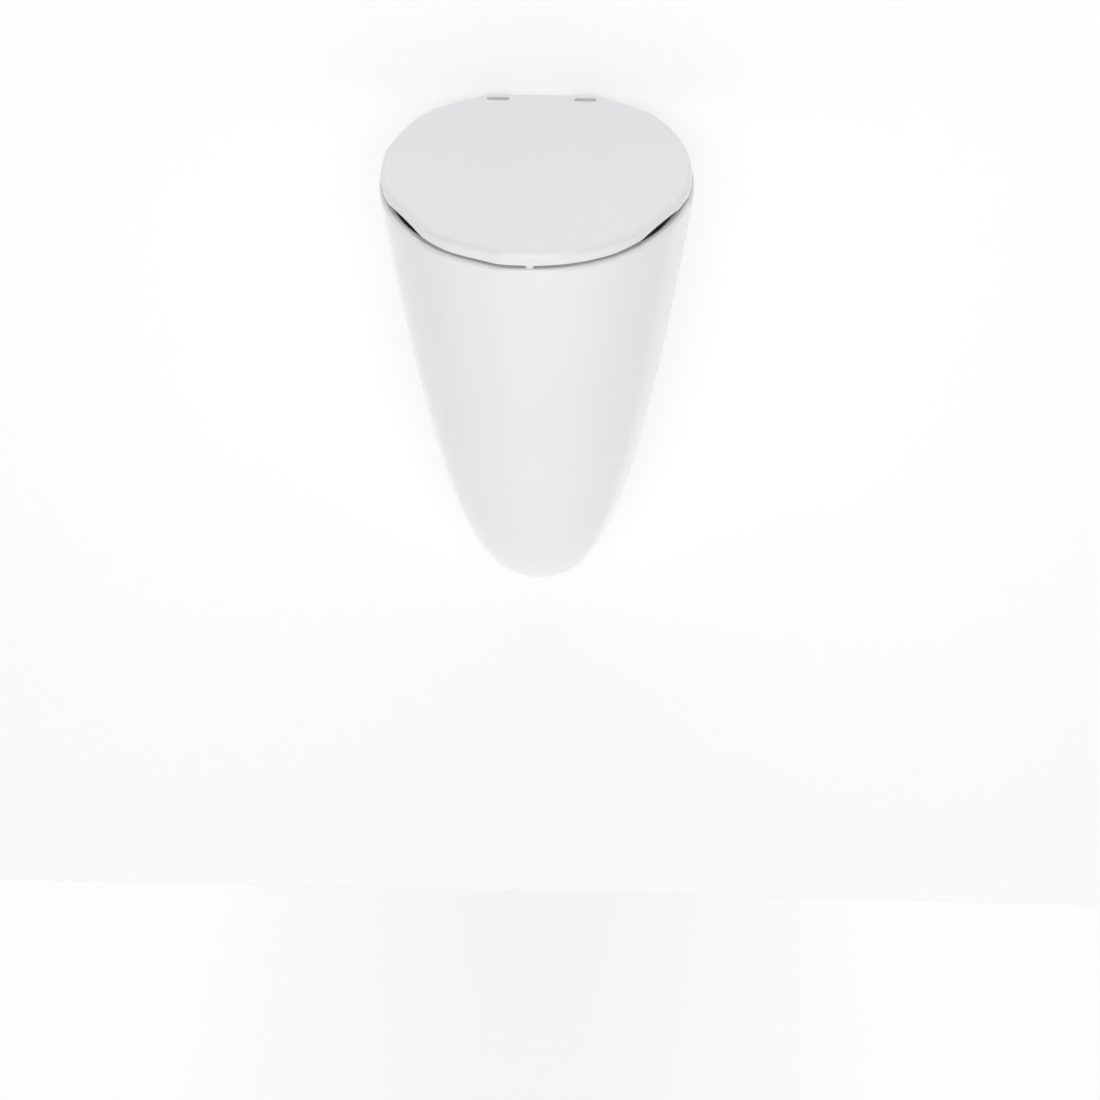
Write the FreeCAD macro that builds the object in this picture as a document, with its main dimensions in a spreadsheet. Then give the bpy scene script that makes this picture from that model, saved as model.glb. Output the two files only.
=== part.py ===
import FreeCAD, Part
import math
import os

# Wall-hung urinal with a hinged lid. Lengths in millimetres, angles in degrees.
# The wall face is the plane Y = 0, the bowl comes out along -Y, X is to the right, Z is up.
# "_height" sizes are measured up from the lower tip, "_depth" sizes out from the wall face.
# The origin is on the wall face, midway between the two wall studs.
SIZES = (
    ("lip_width", 294.0),
    ("lip_depth", 332.0),
    ("lip_height", 482.0),
    ("side_flare", 0.403),
    ("front_flare", 0.434),
    ("middle_share", 0.46),
    ("rim_slope", 7.5),
    ("rim_round", 3.0),
    ("shell_side", 12.0),
    ("shell_front", 13.0),
    ("shell_back", 8.0),
    ("cavity_bottom_height", 26.0),
    ("service_half_width", 30.0),
    ("service_clear", 2.5),
    ("service_rise", 18.0),
    ("service_depth", 40.0),
    ("deck_thickness", 14.0),
    ("bowl_floor_height", 212.0),
    ("bowl_round", 120.0),
    ("bowl_back_depth", 55.0),
    ("bowl_floor_half_width", 38.0),
    ("bowl_floor_back_depth", 50.0),
    ("bowl_floor_front_depth", 116.0),
    ("bowl_wall", 12.0),
    ("bowl_side_wall", 16.0),
    ("bowl_front_wall", 18.0),
    ("hinge_spacing", 87.0),
    ("hinge_axis_depth", 19.5),
    ("hinge_axis_rise", 10.0),
    ("hinge_eye_dia", 7.0),
    ("hinge_eye_width", 20.0),
    ("hinge_arm_angle", 35.0),
    ("hinge_base_depth", 39.0),
    ("hinge_base_dia", 24.0),
    ("hinge_base_thickness", 3.0),
    ("hinge_gasket_thickness", 1.0),
    ("hinge_recess_drop", 5.0),
    ("hinge_recess_width", 132.0),
    ("hinge_recess_depth", 52.0),
    ("hinge_bolt_dia", 6.0),
    ("hinge_bolt_head_dia", 11.0),
    ("hinge_bolt_head_thickness", 3.0),
    ("hinge_bolt_length", 38.0),
    ("hinge_hole_dia", 13.0),
    ("hinge_washer_dia", 20.0),
    ("hinge_washer_thickness", 3.0),
    ("hinge_nut_dia", 20.0),
    ("hinge_nut_length", 10.0),
    ("hinge_pocket_clear", 3.0),
    ("hinge_pocket_length", 26.0),
    ("lid_gap", 3.5),
    ("lid_thickness", 13.0),
    ("lid_skin", 4.0),
    ("lid_wall", 5.0),
    ("lid_round", 5.0),
    ("lid_back_depth", 8.0),
    ("lid_back_width", 110.0),
    ("lid_corner_angle", 33.0),
    ("lid_corner_round", 30.0),
    ("lid_side_round", 50.0),
    ("lid_side_inset", 4.5),
    ("lid_front_inset", 3.0),
    ("lid_back_inset", 16.0),
    ("lid_beam_depth", 34.0),
    ("lid_pocket_clear", 1.5),
    ("lid_slot_clear", 0.3),
    ("lid_slot_end_room", 0.9),
    ("lid_grip_depth", 246.0),
    ("lid_grip_angle", 31.0),
    ("lid_grip_bite", 2.2),
    ("lid_grip_round", 16.0),
    ("lid_recess_depth", 252.0),
    ("lid_recess_length", 112.0),
    ("lid_recess_rise", 4.0),
    ("damper_dia", 9.0),
    ("damper_length", 20.0),
    ("damper_shaft_dia", 4.0),
    ("damper_shaft_tail", 7.0),
    ("running_clear", 0.05),
    ("seat_clear", 0.2),
    ("buffer_dia", 8.0),
    ("buffer_pin_dia", 4.0),
    ("buffer_pin_length", 3.0),
    ("buffer_boss_dia", 12.0),
    ("buffer_inset", 6.0),
    ("buffer_rest", 0.3),
    ("rear_buffer_half_spacing", 106.0),
    ("rear_buffer_depth", 62.0),
    ("stud_spacing", 94.0),
    ("stud_height", 395.0),
    ("stud_dia", 10.0),
    ("stud_thread_dia", 8.0),
    ("stud_shank_reach", 0.5),
    ("stud_in_wall", 70.0),
    ("stud_out", 90.0),
    ("stud_boss_dia", 30.0),
    ("stud_boss_depth", 77.0),
    ("stud_boss_near_depth", 15.0),
    ("stud_hole_dia", 16.0),
    ("stud_washer_dia", 27.0),
    ("stud_washer_thickness", 3.0),
    ("stud_nut_flats", 13.0),
    ("stud_nut_thickness", 6.5),
    ("stud_cap_dia", 25.0),
    ("stud_cap_length", 17.0),
    ("stud_cap_wall", 1.5),
    ("inlet_height", 452.0),
    ("inlet_boss_dia", 50.0),
    ("inlet_boss_front_depth", 66.0),
    ("inlet_boss_back_depth", 45.0),
    ("inlet_hole_dia", 27.0),
    ("inlet_pipe_dia", 18.0),
    ("inlet_pipe_bore", 15.0),
    ("inlet_pipe_in_wall", 30.0),
    ("inlet_pipe_out", 44.0),
    ("inlet_collar_dia", 23.0),
    ("pipe_collar_length", 3.0),
    ("spreader_tail_dia", 26.0),
    ("spreader_tail_back_depth", 24.0),
    ("spreader_flange_dia", 42.0),
    ("spreader_flange_thickness", 4.0),
    ("spreader_head_dia", 30.0),
    ("spreader_head_length", 20.0),
    ("spreader_gasket_thickness", 1.5),
    ("spreader_slot_depth", 8.0),
    ("spreader_slot_width", 18.0),
    ("spreader_nut_flats", 36.0),
    ("spreader_nut_thickness", 8.0),
    ("inlet_seal_thickness", 4.0),
    ("inlet_seal_dia", 22.0),
    ("waste_depth", 82.0),
    ("waste_seat_drop", 6.0),
    ("waste_hole_dia", 46.0),
    ("waste_flange_dia", 58.0),
    ("waste_flange_thickness", 5.0),
    ("waste_gasket_thickness", 1.5),
    ("waste_tail_dia", 44.0),
    ("waste_bore_dia", 38.0),
    ("waste_tail_length", 48.0),
    ("waste_rebate_dia", 48.0),
    ("waste_rebate_drop", 3.5),
    ("waste_nut_dia", 62.0),
    ("waste_nut_thickness", 11.0),
    ("waste_washer_thickness", 2.0),
    ("strainer_thickness", 1.5),
    ("strainer_hole_dia", 5.0),
    ("strainer_ring_dia", 30.0),
    ("dip_flange_thickness", 1.5),
    ("dip_tube_dia", 26.0),
    ("dip_tube_wall", 1.5),
    ("dip_tube_end_height", 62.0),
    ("trap_bottom_height", 48.0),
    ("trap_neck_room", 5.0),
    ("trap_neck_length", 18.0),
    ("trap_dia", 52.0),
    ("trap_wall", 2.5),
    ("trap_neck_dia", 50.0),
    ("trap_seal_thickness", 3.0),
    ("trap_nut_dia", 60.0),
    ("trap_nut_length", 20.0),
    ("trap_nut_lip", 3.0),
    ("outlet_drop", 26.0),
    ("outlet_socket_dia", 46.0),
    ("outlet_socket_end_depth", 32.0),
    ("outlet_pipe_dia", 40.0),
    ("outlet_pipe_wall", 2.0),
    ("outlet_pipe_in_wall", 45.0),
    ("outlet_pipe_insert", 18.0),
    ("outlet_collar_dia", 47.0),
    ("outlet_seal_thickness", 3.0),
    ("outlet_nut_dia", 54.0),
    ("outlet_nut_length", 18.0),
    ("outlet_nut_lip", 3.0),
)
FORM_SHARES = (0.002, 0.006, 0.0145, 0.027, 0.0456, 0.0747, 0.12, 0.187, 0.28, 0.394, 0.529, 0.685, 0.851, 1.0)
CAVITY_SHARES = (0.0, 0.022, 0.07, 0.14, 0.24, 0.36, 0.5, 0.667, 0.842, 1.0)
LID_SHARES = (0.875, 0.96, 1.04, 1.1)
BOWL_STEPS = (0.0, 0.02, 0.06, 0.13, 0.23, 0.36, 0.54, 0.76, 1.0)
BOWL_UPPER_STEPS = (0.14, 0.3, 0.47, 0.65, 0.82, 1.0)
STRAINER_HOLES = 8
PARTS_DIR = "parts"

doc = FreeCAD.newDocument("urinal")
sheet = doc.addObject("Spreadsheet::Sheet", "Sizes")


class Size:
    """A number together with the sheet expression that gives it."""

    def __init__(self, value, text):
        self.value = value
        self.text = text

    def __add__(self, other):
        return Size(self.value + number(other), "(%s + %s)" % (self.text, words(other)))

    def __radd__(self, other):
        return Size(number(other) + self.value, "(%s + %s)" % (words(other), self.text))

    def __sub__(self, other):
        return Size(self.value - number(other), "(%s - %s)" % (self.text, words(other)))

    def __rsub__(self, other):
        return Size(number(other) - self.value, "(%s - %s)" % (words(other), self.text))

    def __mul__(self, other):
        return Size(self.value * number(other), "(%s * %s)" % (self.text, words(other)))

    def __rmul__(self, other):
        return Size(number(other) * self.value, "(%s * %s)" % (words(other), self.text))

    def __truediv__(self, other):
        return Size(self.value / number(other), "(%s / %s)" % (self.text, words(other)))

    def __neg__(self):
        return Size(-self.value, "(0 - %s)" % self.text)

    def power(self, other):
        return Size(self.value ** number(other), "pow(%s; %s)" % (self.text, words(other)))


def number(item):
    return item.value if isinstance(item, Size) else float(item)


def words(item):
    return item.text if isinstance(item, Size) else repr(float(item))


def sine(angle):
    return Size(math.sin(math.radians(angle.value)), "sin(%s)" % angle.text)


def cosine(angle):
    return Size(math.cos(math.radians(angle.value)), "cos(%s)" % angle.text)


def tangent(angle):
    return Size(math.tan(math.radians(angle.value)), "tan(%s)" % angle.text)


def root(item):
    return Size(math.sqrt(item.value), "sqrt(%s)" % item.text)


class Names:
    pass


S = Names()
for row, (alias, value) in enumerate(SIZES, start=1):
    sheet.set("A%d" % row, alias)
    sheet.set("B%d" % row, str(value))
    sheet.setAlias("B%d" % row, alias)
    setattr(S, alias, Size(value, "Sizes.%s" % alias))
doc.recompute()


def bind(obj, prop, item):
    """Tie a property to the sheet, or set it where the value is a plain number."""
    if isinstance(item, Size):
        obj.setExpression(prop, item.text)
    else:
        obj.setExpression(prop, repr(float(item)))


def place(obj, x, y, z):
    bind(obj, "Placement.Base.x", x)
    bind(obj, "Placement.Base.y", y)
    bind(obj, "Placement.Base.z", z)


def up(height):
    """Z of a height above the lower tip."""
    return height - S.stud_height


def turn(obj, axis, angle):
    obj.Placement = FreeCAD.Placement(FreeCAD.Vector(0, 0, 0), FreeCAD.Rotation(axis, number(angle)))
    if isinstance(angle, Size):
        bind(obj, "Placement.Rotation.Angle", angle)


X_AXIS = FreeCAD.Vector(1, 0, 0)
Y_AXIS = FreeCAD.Vector(0, 1, 0)
Z_AXIS = FreeCAD.Vector(0, 0, 1)


def cylinder(name, dia, length, x, y, z, way="Z"):
    """Cylinder from (x, y, z) along +Z, along +X, or out from the wall along -Y."""
    obj = doc.addObject("Part::Cylinder", name)
    bind(obj, "Radius", dia / 2.0)
    bind(obj, "Height", length)
    if way == "X":
        turn(obj, Y_AXIS, 90.0)
    if way == "OUT":
        turn(obj, X_AXIS, 90.0)
    place(obj, x, y, z)
    return obj


def box(name, length, width, height, x, y, z):
    """Box whose lowest corner is (x, y, z)."""
    obj = doc.addObject("Part::Box", name)
    bind(obj, "Length", length)
    bind(obj, "Width", width)
    bind(obj, "Height", height)
    place(obj, x, y, z)
    return obj


def hexagon(name, flats, length, x, y, z, way="Z"):
    obj = doc.addObject("Part::Prism", name)
    obj.Polygon = 6
    bind(obj, "Circumradius", flats / math.sqrt(3.0))
    bind(obj, "Height", length)
    if way == "OUT":
        turn(obj, X_AXIS, 90.0)
    place(obj, x, y, z)
    return obj


def cone(name, low_dia, high_dia, length, x, y, z):
    obj = doc.addObject("Part::Cone", name)
    bind(obj, "Radius1", low_dia / 2.0)
    bind(obj, "Radius2", high_dia / 2.0)
    bind(obj, "Height", length)
    place(obj, x, y, z)
    return obj


def fuse(name, items):
    obj = doc.addObject("Part::MultiFuse", name)
    obj.Shapes = items
    obj.Refine = False
    return obj


def cut(name, base, tool):
    obj = doc.addObject("Part::Cut", name)
    obj.Base = base
    obj.Tool = tool
    return obj


def common(name, items):
    obj = doc.addObject("Part::MultiCommon", name)
    obj.Shapes = items
    return obj


def ring(name, outer_dia, inner_dia, length, x, y, z, way="Z"):
    outer = cylinder(name + "_outer", outer_dia, length, x, y, z, way)
    inner = cylinder(name + "_inner", inner_dia, length, x, y, z, way)
    return cut(name, outer, inner)


def pair(name, items):
    """Two solids of one node, kept apart."""
    obj = doc.addObject("Part::Compound", name)
    obj.Links = items
    return obj


QUARTER_POINTS = 7


def quarter(turns):
    """Quarter of the unit round as one smooth curve."""
    angles = [(turns + step / (QUARTER_POINTS - 1.0)) * math.pi / 2.0 for step in range(QUARTER_POINTS)]
    points = [FreeCAD.Vector(math.cos(a), math.sin(a), 0.0) for a in angles]
    ends = [FreeCAD.Vector(-math.sin(a), math.cos(a), 0.0) for a in (angles[0], angles[-1])]
    curve = Part.BSplineCurve()
    curve.interpolate(points, InitialTangent=ends[0], FinalTangent=ends[1])
    return curve.toShape()


unit_round = doc.addObject("Part::Feature", "unit_round")
unit_round.Shape = Part.Wire([quarter(turns) for turns in range(4)])


def ellipse(name, half_x, front, back, height):
    """Level elliptic section from depth back to depth front: the unit round, scaled."""
    obj = doc.addObject("Part::Scale", name)
    obj.Base = unit_round
    obj.Uniform = False
    obj.ZScale = 1.0
    bind(obj, "XScale", half_x)
    bind(obj, "YScale", (front - back) / 2.0)
    place(obj, 0.0, -(front + back) / 2.0, up(height))
    return obj


def loft(name, sections):
    obj = doc.addObject("Part::Loft", name)
    obj.Sections = sections
    obj.Solid = True
    obj.Ruled = False
    obj.MaxDegree = 3
    return obj


# ---- outer form: elliptic sections that shrink towards the tip ----
rim_back_height = S.lip_height + S.lip_depth * tangent(S.rim_slope)
form_top = rim_back_height + (S.lid_gap + S.lid_thickness) * 2.0


def half_width(height):
    return S.lip_width / 2.0 * (height / S.lip_height).power(S.side_flare)


def depth(height):
    return S.lip_depth * (height / S.lip_height).power(S.front_flare)


def form(name, side, front, back, heights):
    """The outer form drawn in by side, front and back."""
    sections = []
    for step, height in enumerate(heights):
        far = depth(height) - front
        near = back - depth(height) * (1.0 - 2.0 * S.middle_share)
        sections.append(ellipse("%s_%d" % (name, step), half_width(height) - side, far, near, height))
    return loft(name, sections)


form_heights = [S.lip_height * share for share in FORM_SHARES] + [form_top]
NONE = Size(0.0, "0")


def in_room(name, height_low, height_high, depth_near, depth_far):
    """Wide level box between two heights and two depths."""
    wide = S.lip_width * 2.0
    return box(name, wide, depth_far - depth_near, height_high - height_low,
               -wide / 2.0, -depth_far, up(height_low))


# ---- tilted frame of the rim: x, distance out along the slope, rise above the rim plane ----
def on_rim(obj, x, out, rise):
    place(obj, x,
          -(out * cosine(S.rim_slope)) - rise * sine(S.rim_slope),
          up(rim_back_height) - out * sine(S.rim_slope) + rise * cosine(S.rim_slope))
    return obj


def rim_box(name, length, width, height, x, out, rise):
    """Box in the tilted frame: x of its left side, out of its far side, rise of its underside."""
    obj = doc.addObject("Part::Box", name)
    bind(obj, "Length", length)
    bind(obj, "Width", width)
    bind(obj, "Height", height)
    turn(obj, X_AXIS, S.rim_slope)
    return on_rim(obj, x, out, rise)


def rim_cylinder(name, dia, length, x, out, rise, way="UP"):
    obj = doc.addObject("Part::Cylinder", name)
    bind(obj, "Radius", dia / 2.0)
    bind(obj, "Height", length)
    if way == "X":
        turn(obj, Y_AXIS, 90.0)
    else:
        turn(obj, X_AXIS, S.rim_slope)
    return on_rim(obj, x, out, rise)


def rim_cone(name, low_dia, high_dia, length, x, out, rise):
    obj = doc.addObject("Part::Cone", name)
    bind(obj, "Radius1", low_dia / 2.0)
    bind(obj, "Radius2", high_dia / 2.0)
    bind(obj, "Height", length)
    turn(obj, X_AXIS, S.rim_slope)
    return on_rim(obj, x, out, rise)


def rim_hexagon(name, flats, length, x, out, rise):
    obj = doc.addObject("Part::Prism", name)
    obj.Polygon = 6
    bind(obj, "Circumradius", flats / math.sqrt(3.0))
    bind(obj, "Height", length)
    turn(obj, X_AXIS, S.rim_slope)
    return on_rim(obj, x, out, rise)


def rim_slab(name, low, high):
    """Slab parallel to the rim plane between two rises, over the whole part."""
    wide = S.lip_width * 2.0
    far = S.lip_depth * 1.5
    near = S.lip_depth * 0.5
    return rim_box(name, wide, far + near, high - low, -wide / 2.0, far, low)


SIDES = (("left", -1.0), ("right", 1.0))
hinge_x = S.hinge_spacing / 2.0
recess_floor = -S.hinge_recess_drop
deck_under = recess_floor - S.deck_thickness

# ---- ceramic body ----
outer_form = form("outer_form", NONE, NONE, NONE, form_heights)
above_rim = rim_slab("above_rim", NONE, form_top / 2.0)
behind_wall = in_room("behind_wall", NONE - 50.0, form_top + 50.0, -S.lip_depth, NONE)
body_blank = cut("body_blank", outer_form, fuse("body_limits", [above_rim, behind_wall]))


def bowl_section(name, height, share):
    """Bowl section at a height; share runs from 0 at the floor to 1 where the bowl is full."""
    full_half = half_width(height) - S.bowl_side_wall
    full_front = depth(height) - S.bowl_front_wall
    round_share = math.sqrt(1.0 - (1.0 - share) ** 2)
    half_x = S.bowl_floor_half_width + (full_half - S.bowl_floor_half_width) * round_share
    front = S.bowl_floor_front_depth + (full_front - S.bowl_floor_front_depth) * round_share
    back = S.bowl_floor_back_depth + (S.bowl_back_depth - S.bowl_floor_back_depth) * round_share
    return ellipse(name, half_x, front, back, height)


def bowl(name):
    sections = []
    for step, share in enumerate(BOWL_STEPS):
        height = S.bowl_floor_height + S.bowl_round * share
        sections.append(bowl_section("%s_%d" % (name, step), height, share))
    full_height = S.bowl_floor_height + S.bowl_round
    for step, share in enumerate(BOWL_UPPER_STEPS):
        height = full_height + (form_top - full_height) * share
        sections.append(bowl_section("%s_up_%d" % (name, step), height, 1.0))
    return loft(name, sections)


bowl_hollow = bowl("bowl_hollow")
cavity_heights = [S.cavity_bottom_height + (S.lip_height - S.cavity_bottom_height) * share
                  for share in CAVITY_SHARES] + [form_top]
cavity_form = form("cavity_form", S.shell_side, S.shell_front, S.shell_back, cavity_heights)
waste_floor = S.bowl_floor_height - S.waste_seat_drop
waste_under = S.bowl_floor_height - S.waste_seat_drop - S.bowl_wall
trap_neck = (waste_under - S.waste_washer_thickness - S.waste_nut_thickness - S.trap_neck_room
             - S.trap_nut_lip - S.trap_seal_thickness)
trap_shoulder = trap_neck - S.trap_neck_length
outlet_height = trap_shoulder - S.outlet_drop
service_bottom = outlet_height - S.outlet_collar_dia / 2.0 - S.service_clear
service_top = S.bowl_floor_height + S.service_rise
cavity_back = in_room("cavity_back", NONE, form_top, NONE - 1.0, S.bowl_floor_back_depth - S.bowl_wall)
cavity_low = in_room("cavity_low", NONE, waste_under, NONE - 1.0, S.lip_depth)
cavity_room = fuse("cavity_room", [cavity_back, cavity_low])
service_slot = box("service_slot", S.service_half_width * 2.0, S.service_depth + 1.0,
                   service_top - service_bottom,
                   -S.service_half_width, -S.service_depth, up(service_bottom))
cavity_all = fuse("cavity_all", [common("cavity_fit", [cavity_form, cavity_room]), service_slot])
above_deck_under = rim_slab("above_deck_under", deck_under, form_top / 2.0)
stud_bosses = []
for side, sign in SIDES:
    stud_bosses.append(cylinder("stud_boss_" + side, S.stud_boss_dia,
                                S.stud_boss_depth - S.stud_boss_near_depth,
                                S.stud_spacing / 2.0 * sign, -S.stud_boss_near_depth, up(S.stud_height), "OUT"))
inlet_boss = cylinder("inlet_boss", S.inlet_boss_dia, S.inlet_boss_front_depth - S.inlet_boss_back_depth,
                      0.0, -S.inlet_boss_back_depth, up(S.inlet_height), "OUT")
cavity = cut("cavity", cavity_all, above_deck_under)

bosses = fuse("bosses", [inlet_boss] + stud_bosses)
body_bowl = cut("body_bowl", body_blank, cut("bowl_clear", bowl_hollow, bosses))
body_open = cut("body_open", body_bowl, cut("cavity_clear", cavity, bosses))

deck_recess = rim_box("deck_recess", S.hinge_recess_width, S.hinge_recess_depth + 20.0,
                      S.hinge_recess_drop * 2.0,
                      -S.hinge_recess_width / 2.0, S.hinge_recess_depth, recess_floor)
holes = [deck_recess]
for side, sign in SIDES:
    holes.append(rim_cylinder("hinge_hole_" + side, S.hinge_hole_dia, S.deck_thickness * 3.0,
                              hinge_x * sign, S.hinge_base_depth, deck_under - S.deck_thickness))
    holes.append(rim_cylinder("hinge_pocket_" + side, S.hinge_nut_dia + S.hinge_pocket_clear * 2.0,
                              S.hinge_pocket_length, hinge_x * sign, S.hinge_base_depth,
                              deck_under - S.hinge_pocket_length))
    holes.append(cylinder("stud_hole_" + side, S.stud_hole_dia, S.stud_boss_depth + 2.0,
                          S.stud_spacing / 2.0 * sign, 1.0, up(S.stud_height), "OUT"))
holes.append(cylinder("inlet_hole", S.inlet_hole_dia, S.lip_depth / 2.0,
                      0.0, 0.0, up(S.inlet_height), "OUT"))
holes.append(cylinder("waste_hole", S.waste_hole_dia, S.bowl_wall * 4.0,
                      0.0, -S.waste_depth, up(waste_under - S.bowl_wall)))
holes.append(cylinder("waste_seat", S.waste_flange_dia + 2.0, S.waste_seat_drop * 2.0,
                      0.0, -S.waste_depth, up(waste_floor)))
ceramic_sharp = cut("ceramic_sharp", body_open, fuse("ceramic_holes", holes))


def mirror(name, source):
    """The same piece on the other side of the centre plane."""
    obj = doc.addObject("Part::Mirroring", name)
    obj.Source = source
    obj.Base = FreeCAD.Vector(0, 0, 0)
    obj.Normal = X_AXIS
    return obj


def rim_height(point):
    """How far a point lies above the rim plane."""
    slope = math.radians(S.rim_slope.value)
    return (point.z - up(rim_back_height).value) * math.cos(slope) - point.y * math.sin(slope)


def edge_points(edge):
    return [edge.valueAt(edge.FirstParameter + share * (edge.LastParameter - edge.FirstParameter))
            for share in (0.0, 0.25, 0.5, 0.75, 1.0)]


def fillet(name, base, radius, wanted):
    """Round the edges of base that the test picks."""
    doc.recompute()
    picked = [(number_ + 1, radius.value, radius.value)
              for number_, edge in enumerate(base.Shape.Edges) if wanted(edge_points(edge))]
    obj = doc.addObject("Part::Fillet", name)
    obj.Base = base
    obj.Edges = picked
    return obj


def form_share(point):
    """1 on the outer form, less inside it."""
    level = Size(point.z + S.stud_height.value, "0")
    reach = depth(level).value
    across = point.x / half_width(level).value
    along = (-point.y - reach * S.middle_share.value) / (reach * (1.0 - S.middle_share.value))
    return math.hypot(across, along)


def rim_edge(points, outer):
    """Long edge in the rim plane, on the outer form or round the bowl, clear of the hinge recess."""
    level = all(abs(rim_height(point)) < 0.01 for point in points)
    outside = all(form_share(point) > 0.99 for point in points)
    clear = all(-point.y > S.hinge_recess_depth.value for point in points)
    return level and (outside if outer else clear and not outside)


rim_outside = fillet("rim_outside", ceramic_sharp, S.rim_round, lambda points: rim_edge(points, True))
ceramic = fillet("ceramic", rim_outside, S.rim_round, lambda points: rim_edge(points, False))

# ---- lid ----
lid_low = S.lid_gap
lid_top = S.lid_gap + S.lid_thickness
lid_under = lid_top - S.lid_skin
wide = S.lip_width * 2.0
lid_heights = [S.lip_height * share for share in LID_SHARES] + [form_top]
lid_outline = form("lid_outline", S.lid_side_inset, S.lid_front_inset, S.lid_back_inset, lid_heights)
lid_slab = common("lid_slab", [lid_outline, rim_slab("lid_layer", lid_low, lid_top)])
lid_back_cut = in_room("lid_back_cut", NONE, form_top + 50.0, -S.lip_depth, S.lid_back_depth)
lid_corner_right = box("lid_corner_right", wide, S.lip_width / 2.0, form_top,
                       S.lid_back_width / 2.0, -S.lid_back_depth, up(NONE + 50.0))
lid_corner_right.Placement.Rotation = FreeCAD.Rotation(-Z_AXIS, S.lid_corner_angle.value)
bind(lid_corner_right, "Placement.Rotation.Angle", S.lid_corner_angle)
lid_corner_left = mirror("lid_corner_left", lid_corner_right)
grip_height = S.lip_height + (S.lip_depth - S.lid_grip_depth) * tangent(S.rim_slope)
grip_far = depth(grip_height) - S.lid_front_inset
grip_near = S.lid_back_inset - depth(grip_height) * (1.0 - 2.0 * S.middle_share)
grip_share = (S.lid_grip_depth * 2.0 - grip_far - grip_near) / (grip_far - grip_near)
grip_x = (half_width(grip_height) - S.lid_side_inset) * root(NONE + 1.0 - grip_share * grip_share) - S.lid_grip_bite


def grip_box(name, x):
    """All that lies outside the flat grip whose middle is at x."""
    obj = box(name, wide, S.lip_width, form_top, x - S.lip_width / 2.0 * sine(S.lid_grip_angle),
              -(S.lid_grip_depth + S.lip_width / 2.0 * cosine(S.lid_grip_angle)), up(NONE + 50.0))
    obj.Placement.Rotation = FreeCAD.Rotation(-Z_AXIS, S.lid_grip_angle.value)
    bind(obj, "Placement.Rotation.Angle", S.lid_grip_angle)
    return obj


lid_grip_right = grip_box("lid_grip_right", grip_x)
lid_plan = cut("lid_plan", lid_slab, fuse("lid_side_cuts", [lid_back_cut, lid_corner_right, lid_corner_left,
                                                            lid_grip_right, mirror("lid_grip_left", lid_grip_right)]))


def upright_edge(points, near, far):
    """Short upright edge of the lid's outline between two depths."""
    drop = rim_height(points[-1]) - rim_height(points[0])
    short = abs(points[-1].x - points[0].x) < S.lid_thickness.value
    return short and abs(abs(drop) - S.lid_thickness.value) < 2.0 and near <= -points[2].y < far


lid_cornered = fillet("lid_cornered", lid_plan, S.lid_corner_round,
                      lambda points: upright_edge(points, 0.0, S.lid_back_depth.value * 2.0))
lid_sided = fillet("lid_sided", lid_cornered, S.lid_side_round,
                   lambda points: upright_edge(points, S.lid_back_depth.value * 3.0, S.lip_depth.value / 3.0)
                   and abs(points[2].x) > S.lid_back_width.value * 0.65)
lid_gripped = fillet("lid_gripped", lid_sided, S.lid_grip_round,
                     lambda points: upright_edge(points, S.lip_depth.value / 2.0, S.lip_depth.value)
                     and abs(points[2].x) > S.lid_back_width.value / 2.0)


def lid_top_edge(points):
    return all(abs(rim_height(point) - lid_top.value) < 0.01 for point in points)


lid_rounded = fillet("lid_rounded", lid_gripped, S.lid_round, lid_top_edge)

lid_form = form("lid_form", S.lid_side_inset + S.lid_wall, S.lid_front_inset + S.lid_wall,
                S.lid_back_inset + S.lid_wall, lid_heights)
lid_hollow_full = common("lid_hollow_full", [
    lid_form,
    rim_slab("lid_hollow_layer", lid_low - 1.0, lid_under),
    in_room("lid_hollow_room", NONE, form_top + 50.0, S.lid_beam_depth, S.lip_depth * 1.5)])
front_out = S.lip_depth / cosine(S.rim_slope) - S.buffer_inset
BUFFERS = (("front", NONE, front_out), ("right", S.rear_buffer_half_spacing, S.rear_buffer_depth))
buffer_bosses = []
for label, x, out in BUFFERS:
    buffer_bosses.append(rim_cylinder("buffer_boss_" + label, S.buffer_boss_dia, S.lid_thickness,
                                      x, out, lid_low - 1.0))
buffer_bosses.append(mirror("buffer_boss_left", buffer_bosses[1]))
grip_wall = grip_box("grip_wall_right", grip_x - S.lid_wall / cosine(S.lid_grip_angle))
lid_hollow = cut("lid_hollow", lid_hollow_full,
                 fuse("hollow_ends", buffer_bosses + [grip_wall, mirror("grip_wall_left", grip_wall)]))
recess_radius = (S.lid_recess_length * S.lid_recess_length / 4.0
                 + S.lid_recess_rise * S.lid_recess_rise) / (S.lid_recess_rise * 2.0)
finger_recess = rim_cylinder("finger_recess", recess_radius * 2.0, wide, -wide / 2.0,
                             S.lid_recess_depth, lid_low + S.lid_recess_rise - recess_radius, "X")

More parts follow.
